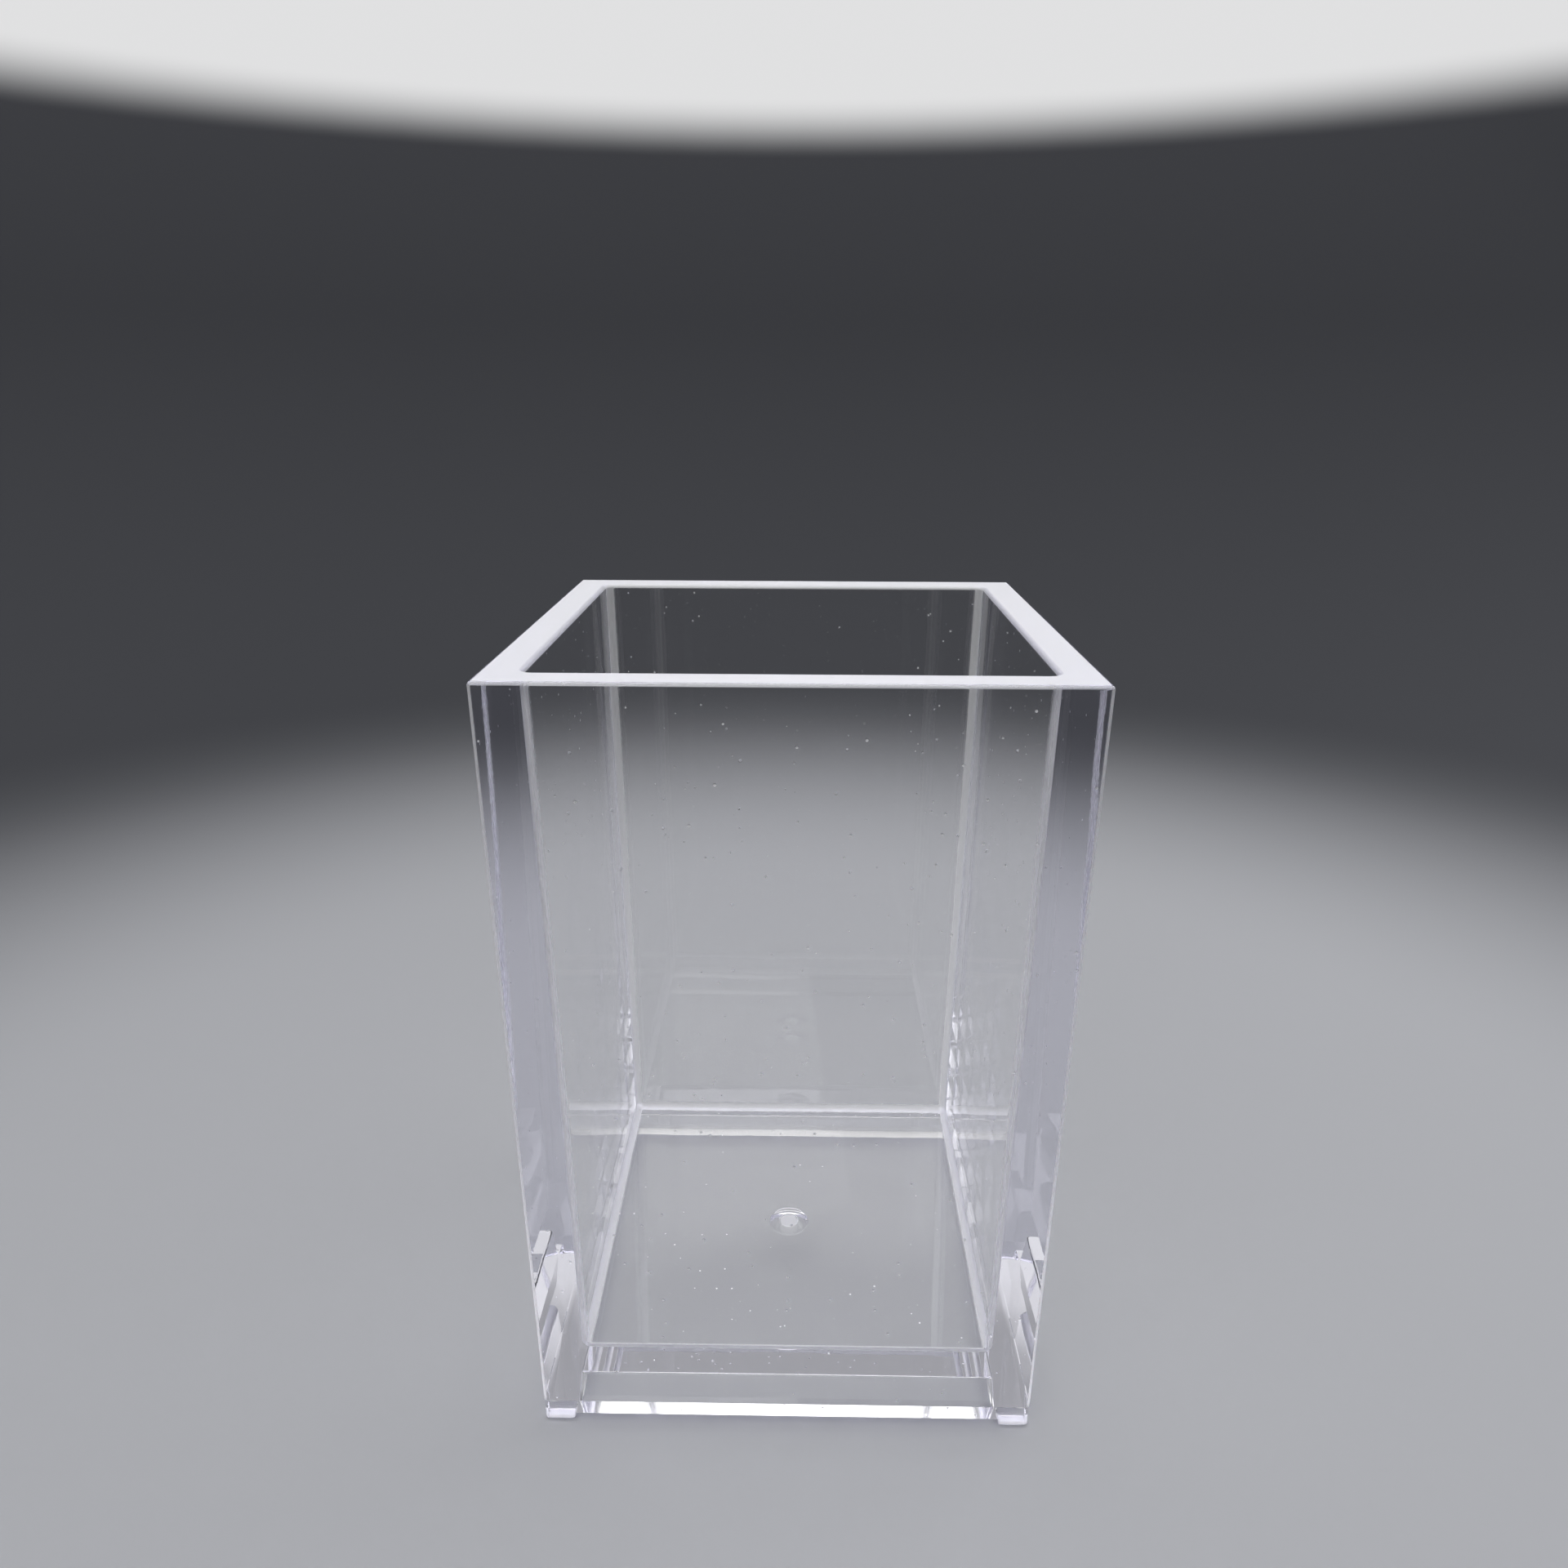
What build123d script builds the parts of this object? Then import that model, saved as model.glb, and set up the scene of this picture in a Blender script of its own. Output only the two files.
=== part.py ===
# Clear square pen cup: one thick-walled polystyrene moulding that stands on four corner feet.
# Millimetres, +Z up. The origin is on the table, midway between the four feet; the front is -Y.
from build123d import *
import os
from math import radians, tan

os.makedirs("parts", exist_ok=True)

# Overall sizes
rim_width = 67.0  # outside, across the flats at the rim
cup_height = 100.5  # from the table to the rim

# Outside: the four faces lean inwards on their way down, as far as the mould's parting line
outer_draft = 0.97  # degrees a side
corner_radius = 0.5  # upright outer edges
rim_outer_radius = 0.45
parting_height = 3.3  # parting line above the table
parting_step = 0.07  # the ring below the line is this much smaller on each side

# Cavity that holds the pens
rim_wall = 4.7  # wall thickness at the rim
cavity_draft = 1.19  # degrees a side, so the wall thickens a little towards the floor
cavity_corner_radius = 1.3
rim_inner_radius = 0.6
floor_height = 9.65  # floor's top face above the table
floor_edge_radius = 1.2

# Floor, and the drafted pocket beneath it
floor_thickness = 3.75
skirt_wall = 4.1  # wall thickness at the pocket's mouth
pocket_draft = 6.6
pocket_corner_radius = 0.8
pocket_top_radius = 0.4

# Feet: the skirt's corners, left standing where its lower edge is cut back between them
foot_height = 1.2
foot_side_draft = 8.0  # degrees, on the two sides that face the other feet
foot_edge_radius = 0.45

# Gate mark under the middle of the floor: a shallow round dish with the snapped-off nub inside
gate_dish_radius = 3.15
gate_dish_depth = 0.8
gate_nub_radius = 1.45
gate_nub_setback = 0.2  # the nub ends this far inside the floor's underside

# Worked out from the sizes above
drafted_height = cup_height - parting_height
parting_width = rim_width - 2 * drafted_height * tan(radians(outer_draft))
ring_width = parting_width - 2 * parting_step
cavity_width = rim_width - 2 * rim_wall
cavity_depth = cup_height - floor_height
underside_height = floor_height - floor_thickness
pocket_depth = underside_height - foot_height
pocket_width = ring_width - 2 * skirt_wall
foot_gap_width = pocket_width + 2 * foot_height * tan(radians(foot_side_draft))
foot_gap_length = 2 * rim_width  # runs out past both sides of the cup
gate_dish_sphere = (gate_dish_radius**2 + gate_dish_depth**2) / (2 * gate_dish_depth)

rim_down = Plane(origin=(0, 0, cup_height), x_dir=(1, 0, 0), z_dir=(0, 0, -1))

# The space inside the cup, rounded where the walls and the floor meet
with BuildPart() as cavity:
    with BuildSketch(rim_down):
        Rectangle(cavity_width, cavity_width)
    extrude(amount=cavity_depth, taper=cavity_draft)
    fillet(cavity.edges().group_by(Axis.Z)[1], cavity_corner_radius)
    fillet(cavity.faces().sort_by(Axis.Z)[0].edges(), floor_edge_radius)

# The space under the floor, wider at its mouth
with BuildPart() as pocket:
    with BuildSketch(Plane.XY.offset(foot_height)):
        Rectangle(pocket_width, pocket_width)
    extrude(amount=pocket_depth, taper=pocket_draft)
    fillet(pocket.edges().group_by(Axis.Z)[1], pocket_corner_radius)
    fillet(pocket.faces().sort_by(Axis.Z)[-1].edges(), pocket_top_radius)

# The strips cut away between the feet, one along each axis
with BuildPart() as foot_gaps:
    with BuildSketch(Plane.XY):
        Rectangle(foot_gap_width, foot_gap_length)
    extrude(amount=foot_height, taper=foot_side_draft)
    with BuildSketch(Plane.XY):
        Rectangle(foot_gap_length, foot_gap_width)
    extrude(amount=foot_height, taper=foot_side_draft)

# Half section of the dish under the floor, turned about the cup's axis
with BuildPart() as gate_dish:
    with BuildSketch(Plane.XZ):
        with BuildLine():
            dish_edge = (gate_dish_radius, underside_height)
            dish_top = (0, underside_height + gate_dish_depth)
            RadiusArc(dish_edge, dish_top, -gate_dish_sphere)
            Polyline(dish_top, (0, underside_height), dish_edge)
        make_face()
    revolve(axis=Axis.Z)

# The moulding
with BuildPart() as cup_body:
    # drafted outside, from the rim down to the parting line
    with BuildSketch(rim_down):
        Rectangle(rim_width, rim_width)
    extrude(amount=drafted_height, taper=outer_draft)
    fillet(cup_body.edges().group_by(Axis.Z)[1], corner_radius)

    # upright ring below the parting line
    with BuildSketch(Plane.XY):
        RectangleRounded(ring_width, ring_width, corner_radius)
    extrude(amount=parting_height)

    # hollows
    add(cavity.part, mode=Mode.SUBTRACT)
    add(pocket.part, mode=Mode.SUBTRACT)
    add(foot_gaps.part, mode=Mode.SUBTRACT)

    # feet: the upright edges that the gaps left, and the edges round the four soles
    gap_edges = cup_body.edges(Select.LAST)
    foot_uprights = gap_edges.filter_by_position(Axis.Z, 0, foot_height, (False, False))
    sole_edges = cup_body.faces().group_by(Axis.Z)[0].edges()
    fillet(foot_uprights + sole_edges, foot_edge_radius)

    # rim, outer edge and then inner edge
    rim_face = cup_body.faces().sort_by(Axis.Z)[-1]
    fillet(rim_face.outer_wire().edges(), rim_outer_radius)
    rim_face = cup_body.faces().sort_by(Axis.Z)[-1]
    fillet(rim_face.inner_wires()[0].edges(), rim_inner_radius)

    # gate mark: the dish, and the nub that stands down in it
    add(gate_dish.part, mode=Mode.SUBTRACT)
    with BuildSketch(Plane.XY.offset(underside_height + gate_nub_setback)):
        Circle(gate_nub_radius)
    extrude(until=Until.NEXT)

cup_body.part.label = "cup_body"
export_step(cup_body.part, "parts/cup_body.step")
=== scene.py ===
# Clear moulded pen cup. Lengths are metres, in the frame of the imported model.
import math

import bmesh
import bpy
from mathutils import Matrix, Vector


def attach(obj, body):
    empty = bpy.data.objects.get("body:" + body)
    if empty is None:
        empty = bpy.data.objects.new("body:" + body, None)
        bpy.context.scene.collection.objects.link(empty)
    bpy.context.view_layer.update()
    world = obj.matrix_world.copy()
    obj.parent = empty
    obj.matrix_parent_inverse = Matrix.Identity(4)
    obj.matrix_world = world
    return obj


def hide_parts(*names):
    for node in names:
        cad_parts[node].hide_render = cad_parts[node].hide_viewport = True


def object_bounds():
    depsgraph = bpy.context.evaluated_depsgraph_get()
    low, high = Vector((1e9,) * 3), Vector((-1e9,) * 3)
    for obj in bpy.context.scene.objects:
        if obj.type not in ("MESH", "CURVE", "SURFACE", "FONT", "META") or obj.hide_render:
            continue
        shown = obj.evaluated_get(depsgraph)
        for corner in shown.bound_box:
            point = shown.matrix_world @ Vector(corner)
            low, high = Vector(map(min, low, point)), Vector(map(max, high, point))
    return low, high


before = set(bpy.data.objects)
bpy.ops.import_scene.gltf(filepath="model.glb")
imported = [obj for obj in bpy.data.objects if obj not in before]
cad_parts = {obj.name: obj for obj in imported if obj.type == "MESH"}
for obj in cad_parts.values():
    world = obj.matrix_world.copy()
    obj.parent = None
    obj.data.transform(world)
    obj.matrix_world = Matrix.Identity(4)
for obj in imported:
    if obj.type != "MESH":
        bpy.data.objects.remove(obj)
cadLow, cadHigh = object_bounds()
mm = 0.001


def hexToLinear(code, alpha=1.0):
    # "#rrggbb" as a picture shows it, to the linear values that shaders take
    channels = [int(code[i:i + 2], 16) / 255 for i in (1, 3, 5)]
    linear = [c / 12.92 if c <= 0.04045 else ((c + 0.055) / 1.055) ** 2.4 for c in channels]
    return (*linear, alpha)


def addNode(tree, kind, settings=None, links=None):
    # settings go to the node's own fields or its sockets, links are {socket: output}
    node = tree.nodes.new(kind)
    for key, value in (settings or {}).items():
        if isinstance(key, str) and hasattr(node, key):
            setattr(node, key, value)
        else:
            node.inputs[key].default_value = value
    for key, source in (links or {}).items():
        tree.links.new(source, node.inputs[key])
    return node


def newMaterial(name):
    material = bpy.data.materials.new(name)
    material.use_nodes = True
    material.node_tree.nodes.clear()
    return material, material.node_tree


# where the cup is looked at from, near and a little above its rim
camera = {
    "distance": 150.39 * mm,  # in front of the cup's axis
    "aside": 1.07 * mm,
    "aboveRim": 29.05 * mm,
    "heading": 0.80,  # degrees, turned left
    "lookDown": 18.85,
    "tilt": 0.21,
    "lens": 26.82,  # mm, on a 36 mm wide sensor
}


def makeCamera(c):
    data = bpy.data.cameras.new("camera")
    data.lens = c["lens"]
    data.sensor_width = 36.0
    data.clip_start = 5 * mm
    data.clip_end = 10.0
    eye = bpy.data.objects.new("camera", data)
    bpy.context.scene.collection.objects.link(eye)
    place = Matrix.Translation((c["aside"], -c["distance"], cadHigh.z + c["aboveRim"]))
    turn = Matrix.Rotation(math.radians(c["heading"]), 4, "Z")
    pitch = Matrix.Rotation(math.radians(90 - c["lookDown"]), 4, "X")
    roll = Matrix.Rotation(math.radians(c["tilt"]), 4, "Z")
    eye.matrix_world = place @ turn @ pitch @ roll
    bpy.context.scene.camera = eye


makeCamera(camera)
print("camera done")

# a round tent of paper and white cloth: pale floor round the cup, painted shade that greys the floor
# further off and the whole wall, and a cloth dome that glows
tent = {
    "radius": 0.46,  # metres
    "bendRadius": 0.16,
    "wallHeight": 0.34,
    "floorColour": "#9c9da1",
    # painted shade: the grey that the floor fades to away from the cup, and the whole wall
    "paintedShadeColour": "#3f4044",
    "airGap": 0.1 * mm,  # under the soles
    "paintedPoolReach": 0.15,  # distance from the cup plus height, where the painted pool of light round the cup starts to fade into painted shade
    "paintedShadeReach": 0.36,
    "domeGlow": (  # each row adds a brightness, where 1 is white, between two heights in degrees
        (0.7, 26.5, 29.0),
        (-0.4, 39.0, 43.0),
        (1.9, 50.0, 56.0),
    ),
    "stepsAround": 96,
    "bendSteps": 24,
    "domeSteps": 16,
}


def makeTentMesh(t):
    mesh = bpy.data.meshes.new("lightTent")
    shape = bmesh.new()
    around = t["stepsAround"]
    flat = t["radius"] - t["bendRadius"]
    profile = [(flat * share, 0.0) for share in (0.25, 0.5, 0.75, 1.0)]
    for i in range(1, t["bendSteps"] + 1):
        a = math.pi / 2 * i / t["bendSteps"]
        out = flat + t["bendRadius"] * math.sin(a)
        profile.append((out, t["bendRadius"] * (1 - math.cos(a))))
    for i in range(t["domeSteps"]):
        a = math.pi / 2 * i / t["domeSteps"]
        profile.append((t["radius"] * math.cos(a), t["wallHeight"] + t["radius"] * math.sin(a)))
    rings = [
        [
            shape.verts.new((radius * math.cos(turn), radius * math.sin(turn), height))
            for turn in (2 * math.pi * j / around for j in range(around))
        ]
        for radius, height in profile
    ]
    shape.faces.new(rings[0])
    shape.faces.new(rings[-1])
    for lower, upper in zip(rings, rings[1:]):
        for j in range(around):
            k = (j + 1) % around
            shape.faces.new((lower[j], lower[k], upper[k], upper[j]))
    for face in shape.faces:
        face.smooth = True
    bmesh.ops.recalc_face_normals(shape, faces=shape.faces)
    bmesh.ops.reverse_faces(shape, faces=shape.faces)  # seen from inside
    shape.to_mesh(mesh)
    shape.free()
    return mesh


def makeTentCloth(t):
    # matt paper underneath and thin white cloth over it: no shine, and a soft even light from the dome.
    # The paper's colour holds a painted pool of light, pale round the cup and painted grey shade further
    # off and up the wall
    material, tree = newMaterial("mattePaperAndCloth")
    place = addNode(tree, "ShaderNodeNewGeometry")
    split = addNode(tree, "ShaderNodeSeparateXYZ", links={0: place.outputs["Position"]})
    height = split.outputs[2]
    flat = addNode(tree, "ShaderNodeCombineXYZ", links={0: split.outputs[0], 1: split.outputs[1]})
    away = addNode(tree, "ShaderNodeVectorMath", {"operation": "LENGTH"}, {0: flat.outputs[0]})
    along = addNode(
        tree, "ShaderNodeMath", {"operation": "ADD"}, {0: away.outputs["Value"], 1: height},
    )
    # painted shade: the colour goes from the pale floor to grey with distance from the cup plus height
    paintedFalloff = addNode(
        tree, "ShaderNodeMapRange",
        {"interpolation_type": "SMOOTHSTEP", 1: t["paintedPoolReach"], 2: t["paintedShadeReach"]},
        {0: along.outputs[0]},
    )
    colour = addNode(
        tree, "ShaderNodeMix",
        {"data_type": "RGBA", 6: hexToLinear(t["floorColour"]), 7: hexToLinear(t["paintedShadeColour"])},
        {0: paintedFalloff.outputs[0]},
    )
    lean = addNode(
        tree, "ShaderNodeMath", {"operation": "ARCTAN2"}, {0: height, 1: away.outputs["Value"]},
    )
    glow = None
    for brightness, start, full in t["domeGlow"]:
        step = addNode(
            tree, "ShaderNodeMapRange",
            {
                "interpolation_type": "SMOOTHSTEP",
                1: math.radians(start),
                2: math.radians(full),
                4: brightness,
            },
            {0: lean.outputs[0]},
        ).outputs[0]
        if glow is None:
            glow = step
        else:
            both = addNode(tree, "ShaderNodeMath", {"operation": "ADD"}, {0: glow, 1: step})
            glow = both.outputs[0]
    cloth = addNode(
        tree, "ShaderNodeBsdfPrincipled",
        {"Roughness": 0.9, "Specular IOR Level": 0.2, "Emission Color": (1, 1, 1, 1)},
        {"Base Color": colour.outputs[2], "Emission Strength": glow},
    )
    addNode(tree, "ShaderNodeOutputMaterial", links={"Surface": cloth.outputs[0]})
    return material


lightTent = bpy.data.objects.new("lightTent", makeTentMesh(tent))
bpy.context.scene.collection.objects.link(lightTent)
lightTent.data.materials.append(makeTentCloth(tent))
lightTent.location.z = -tent["airGap"]

# two soft lamps beside the cup, which put light into its edges
panels = {
    "azimuths": (112.0, 337.0),  # degrees round from the front: right and a little behind, front left
    "reach": 0.40,
    "height": 0.22,
    "size": (0.36, 0.34),
    "brightness": 1.3,
}


def addPanel(name, azimuth, s):
    # power is worked out so that the panel's face has this brightness, where 1 is white
    data = bpy.data.lights.new(name, "AREA")
    data.shape = "RECTANGLE"
    data.size, data.size_y = s["size"]
    data.energy = s["brightness"] * math.pi * data.size * data.size_y
    panel = bpy.data.objects.new(name, data)
    turn = math.radians(azimuth)
    panel.location = (s["reach"] * math.sin(turn), -s["reach"] * math.cos(turn), s["height"])
    panel.rotation_mode = "QUATERNION"
    aim = Vector((0, 0, cadHigh.z / 2)) - panel.location
    panel.rotation_quaternion = aim.to_track_quat("-Z", "Y")
    panel.visible_camera = False
    bpy.context.scene.collection.objects.link(panel)


for number, azimuth in enumerate(panels["azimuths"], 1):
    addPanel(f"sidePanel{number}", azimuth, panels)

world = bpy.data.worlds.new("studio")
world.use_nodes = True
world.node_tree.nodes["Background"].inputs[0].default_value = (1, 1, 1, 1)
bpy.context.scene.world = world
print("stage done")

scene = bpy.context.scene
scene.view_settings.view_transform = "Standard"
scene.cycles.use_denoising = True
insideHops = 64  # light runs down inside the walls in many small hops
scene.cycles.max_bounces = insideHops
scene.cycles.transmission_bounces = insideHops
scene.cycles.glossy_bounces = insideHops
scene.cycles.diffuse_bounces = 4
scene.cycles.blur_glossy = 0.0  # keeps the light that comes through the clear floor

# general-purpose polystyrene, moulded against polished steel
styrene = {
    "ior": 1.59,
    "roughness": 0.004,
    "tint": "#6c59ed",  # seen only where light has run a long way inside a wall
    "density": 1.3,
    "satinRoughness": 0.55,  # where the mould was left satin: the rim's top and the rounded edges
    "satinMilk": 0.4,  # share of the light that satin spreads like milk glass
    "waviness": 20.0,  # mm from wave to wave on the walls, where the plastic shrank unevenly
    "waveHeight": 0.03,  # mm, as the other heights and depths here
    "peel": 0.9,  # mm, fine orange peel, drawn coarser than the real one so that it shows
    "peelHeight": 0.0006,
    "speckSpacing": 3.0,  # mm between pin-prick marks
    "speckRadius": 0.2,
    "speckCore": 0.1,  # radius of a mark's flat middle
    "speckDepth": 0.03,
    "speckMilk": 0.8,  # how satin, and so how white, a mark is
}


def makeStyrene(s):
    # water-clear and hard: sharp bright edges, a faint violet depth, and dull white satin on the rim
    material, tree = newMaterial("clearPolystyrene")
    place = addNode(tree, "ShaderNodeNewGeometry")
    satin = addNode(tree, "ShaderNodeAttribute", {"attribute_name": "satin"})
    wave = addNode(
        tree, "ShaderNodeTexNoise", {"Scale": 1 / (s["waviness"] * mm), "Detail": 1.0},
        {"Vector": place.outputs["Position"]},
    )
    cells = addNode(
        tree, "ShaderNodeTexVoronoi", {"Scale": 1 / (s["speckSpacing"] * mm)},
        {"Vector": place.outputs["Position"]},
    )
    speck = addNode(
        tree, "ShaderNodeMapRange",
        {
            "interpolation_type": "SMOOTHSTEP",
            1: s["speckRadius"] / s["speckSpacing"],
            2: s["speckCore"] / s["speckSpacing"],
            3: 0.0,
            4: 1.0,
        },
        {0: cells.outputs["Distance"]},
    )
    mark = addNode(
        tree, "ShaderNodeMath", {"operation": "MULTIPLY", 1: s["speckMilk"]}, {0: speck.outputs[0]},
    )
    matt = addNode(
        tree, "ShaderNodeMath", {"operation": "MAXIMUM"}, {0: satin.outputs["Fac"], 1: mark.outputs[0]},
    )
    dull = addNode(
        tree, "ShaderNodeMapRange", {3: s["roughness"], 4: s["satinRoughness"]}, {0: matt.outputs[0]},
    )
    clearness = addNode(
        tree, "ShaderNodeMapRange", {3: 1.0, 4: 1 - s["satinMilk"]}, {0: matt.outputs[0]},
    )
    peel = addNode(
        tree, "ShaderNodeTexNoise", {"Scale": 1 / (s["peel"] * mm), "Detail": 1.0},
        {"Vector": place.outputs["Position"]},
    )
    wavy = addNode(
        tree, "ShaderNodeBump", {"Distance": s["waveHeight"] * mm, "Strength": 1.0},
        {"Height": wave.outputs[0]},
    )
    peeled = addNode(
        tree, "ShaderNodeBump", {"Distance": s["peelHeight"] * mm, "Strength": 1.0},
        {"Height": peel.outputs[0], "Normal": wavy.outputs[0]},
    )
    specked = addNode(
        tree, "ShaderNodeBump", {"Distance": s["speckDepth"] * mm, "Strength": 1.0, "invert": True},
        {"Height": speck.outputs[0], "Normal": peeled.outputs[0]},
    )
    glass = addNode(
        tree, "ShaderNodeBsdfPrincipled",
        {"Base Color": (1, 1, 1, 1), "IOR": s["ior"]},
        {
            "Roughness": dull.outputs[0],
            "Transmission Weight": clearness.outputs[0],
            "Normal": specked.outputs[0],
        },
    )
    inside = addNode(
        tree, "ShaderNodeVolumeAbsorption",
        {"Color": hexToLinear(s["tint"]), "Density": s["density"]},
    )
    addNode(
        tree, "ShaderNodeOutputMaterial",
        links={"Surface": glass.outputs[0], "Volume": inside.outputs[0]},
    )
    return material


clearStyrene = makeStyrene(styrene)
print("polystyrene done")

# the moulding, in millimetres and degrees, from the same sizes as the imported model
cup = {
    "rimWidth": 67.0,
    "outerDraft": 0.97,
    "cornerRadius": 0.5,
    "rimOuterRadius": 0.45,
    "partingHeight": 3.3,
    "partingStep": 0.07,
    "partingLedge": 0.12,  # height over which the step is spread
    "rimWall": 4.7,
    "cavityDraft": 1.19,
    "cavityCornerRadius": 1.3,
    "rimInnerRadius": 0.6,
    "floorHeight": 9.65,
    "floorEdgeRadius": 1.2,
    "floorThickness": 3.75,
    "skirtWall": 4.1,
    "pocketDraft": 6.6,
    "pocketCornerRadius": 0.8,
    "pocketTopRadius": 0.4,
    "footHeight": 1.2,
    "footSideDraft": 8.0,
    "footEdgeRadius": 0.45,
    "footShoulder": 0.15,  # height over which a foot's upright edges run into the skirt
    "footInset": 0.02,  # keeps a foot's inner corner clear of the pocket's mouth
    "soleRounding": 0.96,  # the rounding draws the sole in by this share of its radius
    "smallestRadius": 0.02,  # of a foot's corners, low on its rounding
    "smallestOuterRadius": 0.04,  # of the one at the cup's own corner
    "dishRadius": 3.15,
    "dishDepth": 0.8,
    "nubRadius": 1.45,
    "nubSetback": 0.2,
    "nubBevel": 0.15,
    "sharpAngle": 32.0,  # degrees, edges sharper than this stay crisp
    # how satin each place is, from 0 to 1
    "rimTopSatin": 1.0,
    "rimEdgeSatin": 0.15,  # the rim's outer rounding is nearly polished
    "outerSatin": 0.8,  # the upright outer edges
    "innerSatin": 0.7,  # the cavity's corners and the edge of its floor
    "soleSatin": 0.3,
    "nubSatin": 1.0,  # the broken end of the gate
}
wallSteps = 12
dishSteps = 5
arcSteps = 6
sideSteps = 16


def slope(degrees):
    return math.tan(math.radians(degrees))


class CupMesh:
    def __init__(self, c, height):
        self.c = c
        self.height = height
        self.shape = bmesh.new()
        self.satin = self.shape.verts.layers.float.new("satin")
        drafted = (height - c["partingHeight"]) * slope(c["outerDraft"])
        self.ringHalf = c["rimWidth"] / 2 - drafted - c["partingStep"]
        self.pocketHalf = self.ringHalf - c["skirtWall"]
        self.footShare = (self.pocketHalf + c["footInset"]) / (self.ringHalf - c["cornerRadius"])

    def point(self, x, y, z):
        return self.shape.verts.new((x * mm, y * mm, z * mm))

    def ring(self, half, radius, z, corners=0.0, sides=0.0):
        # a rounded square, anticlockwise from the right-hand end of the front: an arc, then a side
        # corners and sides say how satin the surface is there
        points = []
        straight = half - radius
        for turn in range(4):
            flip = Matrix.Rotation(math.pi / 2 * turn, 2)
            for i in range(arcSteps + 1):
                a = -math.pi / 2 + math.pi / 2 * i / arcSteps
                spot = flip @ Vector((straight + radius * math.cos(a), -straight + radius * math.sin(a)))
                points.append(self.point(*spot, z))
                points[-1][self.satin] = corners if 0 < i < arcSteps else sides
            for i in range(sideSteps + 1):
                share = self.footShare * (-1 + 2 * i / sideSteps)
                spot = flip @ Vector((half, straight * share))
                points.append(self.point(*spot, z))
                points[-1][self.satin] = sides
        return points

    def skin(self, lower, upper, skip=()):
        n = len(lower)
        for i in range(n):
            if i not in skip:
                j = (i + 1) % n
                self.shape.faces.new((lower[i], lower[j], upper[j], upper[i]))

    def stack(self, rings):
        for lower, upper in zip(rings, rings[1:]):
            self.skin(lower, upper)


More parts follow.
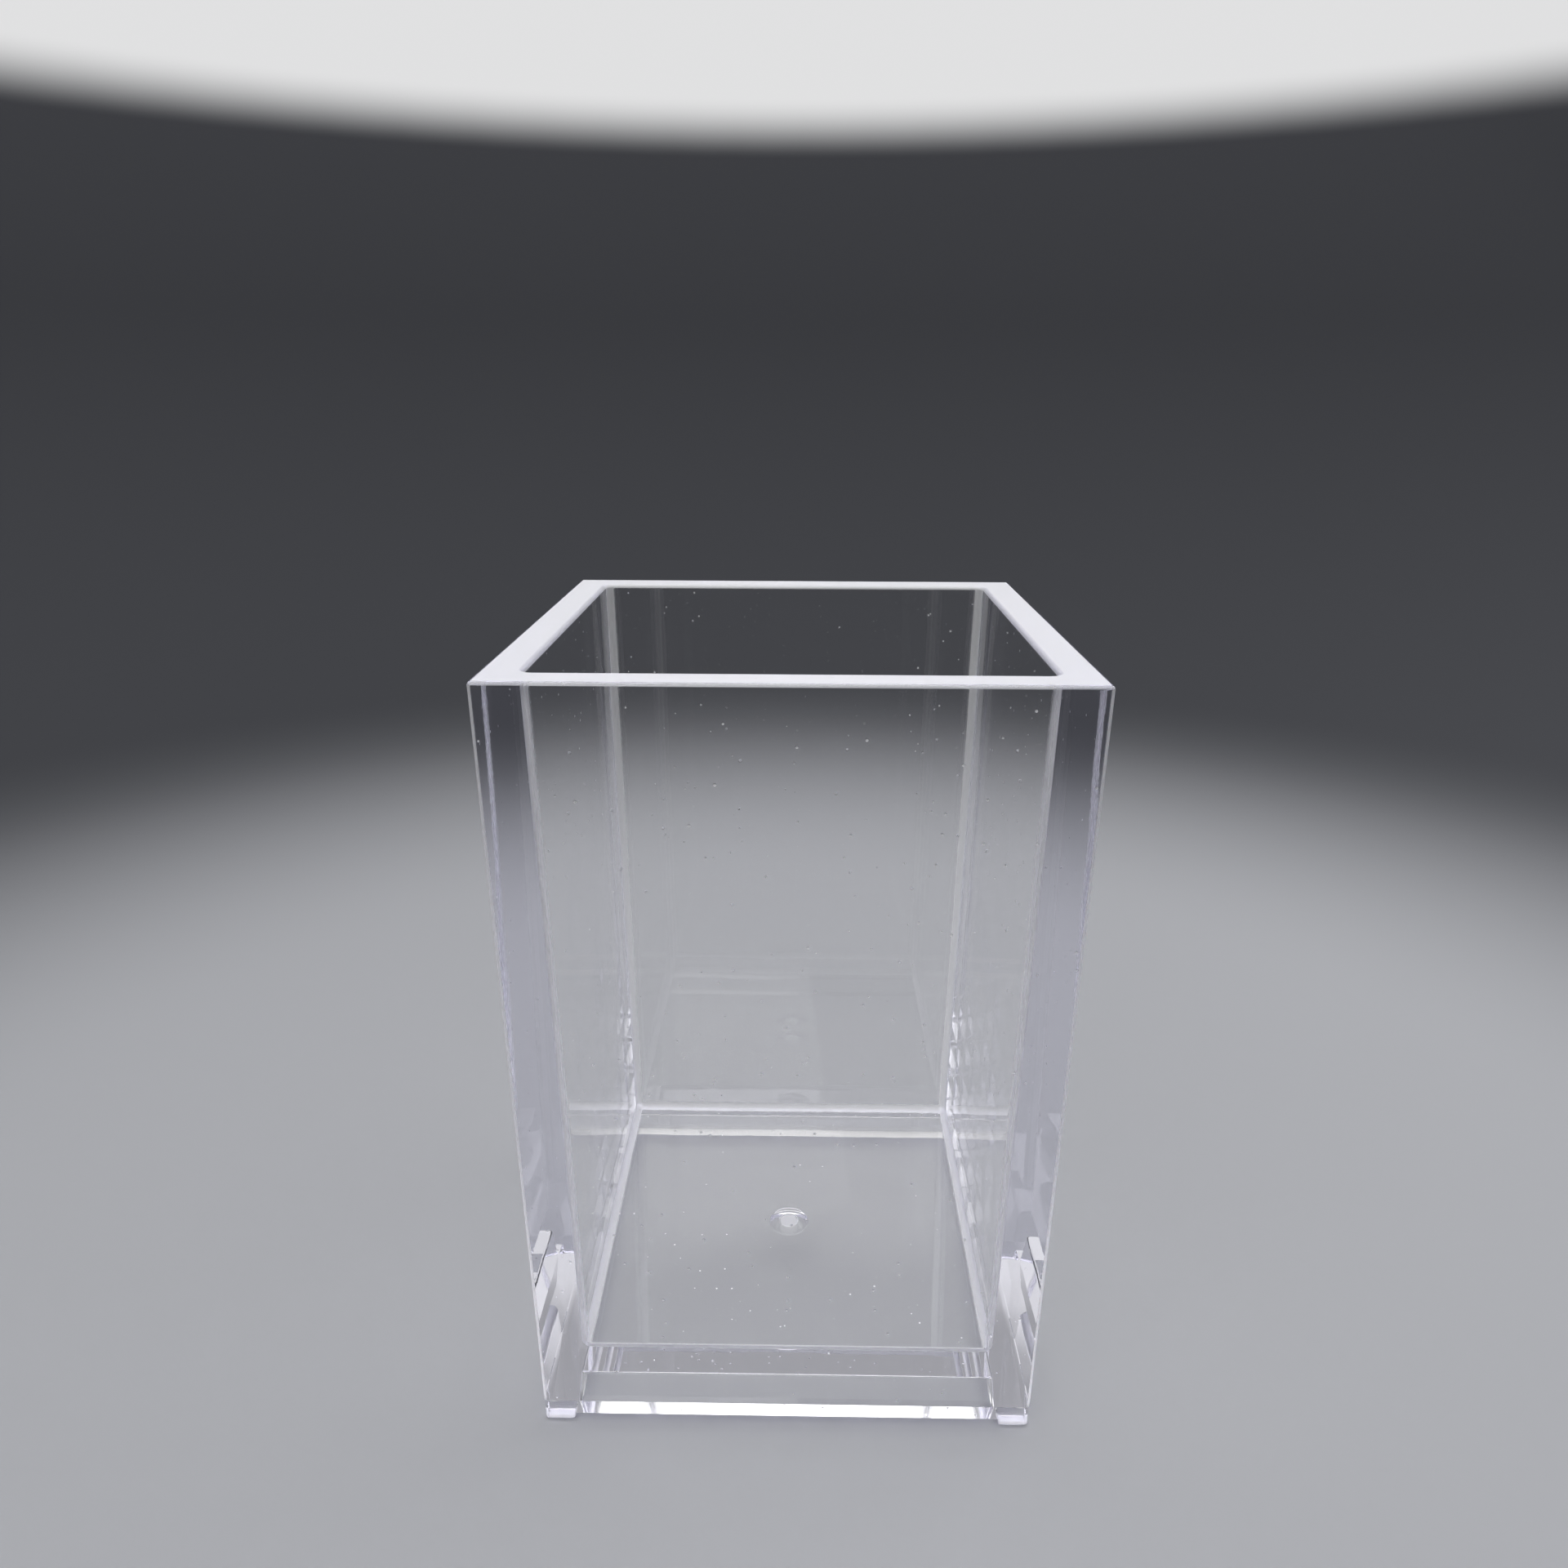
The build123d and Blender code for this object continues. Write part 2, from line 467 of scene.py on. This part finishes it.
def buildCup(c, height):
    m = CupMesh(c, height)
    rimHalf = c["rimWidth"] / 2

    def outerHalf(z):
        return rimHalf - (height - z) * slope(c["outerDraft"])

    def innerHalf(z):
        return rimHalf - c["rimWall"] - (height - z) * slope(c["cavityDraft"])

    rings = []
    # skirt, parting ledge and drafted wall
    bottomRing = m.ring(m.ringHalf, c["cornerRadius"], c["footHeight"])
    rings.append(bottomRing)
    rings.append(m.ring(m.ringHalf, c["cornerRadius"], c["partingHeight"] - c["partingLedge"]))
    rimStart = height - c["rimOuterRadius"]
    for i in range(wallSteps + 1):
        z = c["partingHeight"] + (rimStart - c["partingHeight"]) * i / wallSteps
        rings.append(m.ring(outerHalf(z), c["cornerRadius"], z, c["outerSatin"]))
    # rim: outer rounding, flat top, inner rounding
    for i in range(1, arcSteps + 1):
        a = math.pi / 2 * i / arcSteps
        inward = c["rimOuterRadius"] * (1 - math.cos(a))
        z = rimStart + c["rimOuterRadius"] * math.sin(a)
        dull = c["rimTopSatin"] if i == arcSteps else c["rimEdgeSatin"]
        rings.append(m.ring(outerHalf(rimStart) - inward, c["cornerRadius"] - inward, z, dull, dull))
    wallTop = height - c["rimInnerRadius"]
    for i in range(arcSteps + 1):
        a = math.pi / 2 * i / arcSteps
        outward = c["rimInnerRadius"] * (1 - math.sin(a))
        z = height - c["rimInnerRadius"] * (1 - math.cos(a))
        dull = c["rimTopSatin"] if i == 0 else c["innerSatin"]
        sides = 0.0 if i == arcSteps else dull  # the walls below stay clear
        radius = c["cavityCornerRadius"] + outward
        rings.append(m.ring(innerHalf(wallTop) + outward, radius, z, dull, sides))
    # cavity wall, floor rounding
    wallFoot = c["floorHeight"] + c["floorEdgeRadius"]
    for i in range(1, wallSteps + 1):
        z = wallTop + (wallFoot - wallTop) * i / wallSteps
        rings.append(m.ring(innerHalf(z), c["cavityCornerRadius"], z, c["innerSatin"]))
    for i in range(1, arcSteps + 1):
        a = math.pi / 2 * i / arcSteps
        inward = c["floorEdgeRadius"] * (1 - math.cos(a))
        z = wallFoot - c["floorEdgeRadius"] * math.sin(a)
        dull = c["innerSatin"] if i < arcSteps else 0.0
        radius = c["cavityCornerRadius"] - inward
        rings.append(m.ring(innerHalf(wallFoot) - inward, radius, z, dull, dull))
    m.stack(rings)
    m.shape.faces.new(rings[-1])

    # pocket under the floor, from its mouth up to the underside
    underside = c["floorHeight"] - c["floorThickness"]
    roundStart = underside - c["pocketTopRadius"]
    mouth = m.ring(m.pocketHalf, c["pocketCornerRadius"], c["footHeight"])
    under = [mouth]
    topHalf = m.pocketHalf - (roundStart - c["footHeight"]) * slope(c["pocketDraft"])
    for i in range(arcSteps + 1):
        a = math.pi / 2 * i / arcSteps
        inward = c["pocketTopRadius"] * (1 - math.cos(a))
        z = roundStart + c["pocketTopRadius"] * math.sin(a)
        under.append(m.ring(topHalf - inward, c["pocketCornerRadius"] - inward, z))

    def circle(radius, z, dull=0.0):
        points = []
        for v in under[-1]:
            a = math.atan2(v.co.y, v.co.x)
            points.append(m.point(radius * math.cos(a), radius * math.sin(a), z))
            points[-1][m.satin] = dull
        return points

    # gate mark: dish and nub
    sphere = (c["dishRadius"] ** 2 + c["dishDepth"] ** 2) / (2 * c["dishDepth"])

    def dishHeight(radius):
        return underside + c["dishDepth"] - (sphere - math.sqrt(sphere ** 2 - radius ** 2))

    for i in range(dishSteps + 1):
        radius = c["dishRadius"] + (c["nubRadius"] - c["dishRadius"]) * i / dishSteps
        under.append(circle(radius, dishHeight(radius)))
    nubEnd = underside + c["nubSetback"]
    under.append(circle(c["nubRadius"], nubEnd + c["nubBevel"]))
    under.append(circle(c["nubRadius"] - c["nubBevel"], nubEnd, c["nubSatin"]))
    m.stack(under)
    m.shape.faces.new(under[-1])

    # feet
    quarter = arcSteps + 1 + sideSteps + 1
    total = 4 * quarter
    low = m.ringHalf
    inner = m.pocketHalf + c["footInset"]
    feetTops = []
    for turn in range(4):
        flip = Matrix.Rotation(math.pi / 2 * turn, 2)
        start = turn * quarter
        sideA = bottomRing[(start - 1) % total]
        arc = bottomRing[start:start + arcSteps + 1]
        sideB = bottomRing[start + arcSteps + 1]

        def corner(cx, cy, radius, first, z):
            # an arc of the foot's outline about (cx, cy), its first angle given, anticlockwise
            made = []
            for i in range(arcSteps + 1):
                a = math.radians(first) + math.pi / 2 * i / arcSteps
                spot = flip @ Vector((cx + radius * math.cos(a), cy + radius * math.sin(a)))
                made.append(m.point(*spot, z))
            return made

        # the inner corner at the top of the foot is rounded too
        e = c["footEdgeRadius"]
        innerTop = corner(inner + e, -inner - e, e, 90, c["footHeight"])
        topLoop = [*innerTop, sideA, *arc, sideB]
        feetTops.append((sideA, sideB, innerTop))

        def outline(inset, z):
            # the foot's outline at a height, in four arcs: inner, left, outer, right
            lean = (c["footHeight"] - z) * slope(c["footSideDraft"])
            near, far = inner + lean + inset, low - inset
            small = max(e - inset, c["smallestRadius"])
            outer = max(c["cornerRadius"] - inset, c["smallestOuterRadius"])
            return (
                corner(near + small, -near - small, small, 90, z),
                corner(near + small, -far + small, small, 180, z),
                corner(far - outer, -far + outer, outer, 270, z),
                corner(far - small, -near - small, small, 0, z),
            )

        levels = [outline(0.0, c["footHeight"] - c["footShoulder"]), outline(0.0, e)]
        for i in range(1, arcSteps + 1):
            a = math.pi / 2 * i / arcSteps
            inset = e * (1 - math.cos(a)) * c["soleRounding"]
            levels.append(outline(inset, e * (1 - math.sin(a))))
        for level in levels[2:]:
            for v in (v for part in level for v in part):
                v[m.satin] = c["soleSatin"]
        loops = [[v for part in level for v in part] for level in levels]
        for upper, lower in zip(loops, loops[1:]):
            m.skin(lower, upper)
        m.shape.faces.new(loops[-1])
        # from the top loop to the first full outline: fans at the two outer side corners
        innerArc, leftArc, outerArc, rightArc = levels[0]
        face = m.shape.faces.new
        for a, b, p, q in zip(innerTop, innerTop[1:], innerArc, innerArc[1:]):
            face((a, b, q, p))
        face((innerTop[-1], sideA, leftArc[0], innerArc[-1]))
        for p, q in zip(leftArc, leftArc[1:]):
            face((sideA, q, p))
        face((sideA, arc[0], outerArc[0], leftArc[-1]))
        for a, b, p, q in zip(arc, arc[1:], outerArc, outerArc[1:]):
            face((a, b, q, p))
        face((arc[-1], sideB, rightArc[0], outerArc[-1]))
        for p, q in zip(rightArc, rightArc[1:]):
            face((sideB, q, p))
        face((sideB, innerTop[0], innerArc[0], rightArc[-1]))

    # skirt's lower face between the feet, one for each side
    half = arcSteps // 2
    for turn in range(4):
        sideB, innerTopHere = feetTops[turn][1], feetTops[turn][2]
        sideA, innerTopNext = feetTops[(turn + 1) % 4][0], feetTops[(turn + 1) % 4][2]
        start = turn * quarter
        sideStart = start + arcSteps + 1
        outerEdge = [bottomRing[(sideStart + i) % total] for i in range(sideSteps + 1)]
        mouthEdge = [mouth[(start + half + i) % total] for i in range(quarter + 1)]
        nextFoot = innerTopNext[half:]
        hereFoot = innerTopHere[:half + 1]
        innerEdge = hereFoot + mouthEdge + nextFoot
        m.shape.faces.new(outerEdge + list(reversed(innerEdge)))
    bmesh.ops.recalc_face_normals(m.shape, faces=m.shape.faces)
    for f in m.shape.faces:
        f.smooth = True
    mesh = bpy.data.meshes.new("cupShell")
    m.shape.to_mesh(mesh)
    mesh.set_sharp_from_angle(angle=math.radians(c["sharpAngle"]))
    return mesh


shell = bpy.data.objects.new("cupShell", buildCup(cup, cadHigh.z / mm))
bpy.context.scene.collection.objects.link(shell)
shell.data.materials.append(clearStyrene)
flatFaces = shell.modifiers.new("flatFaces", "WEIGHTED_NORMAL")
flatFaces.keep_sharp = True
flatFaces.weight = 100  # the large faces decide, so that the walls stay flat up to their edges
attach(shell, "root")
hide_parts("cup_body")
print("cup done")
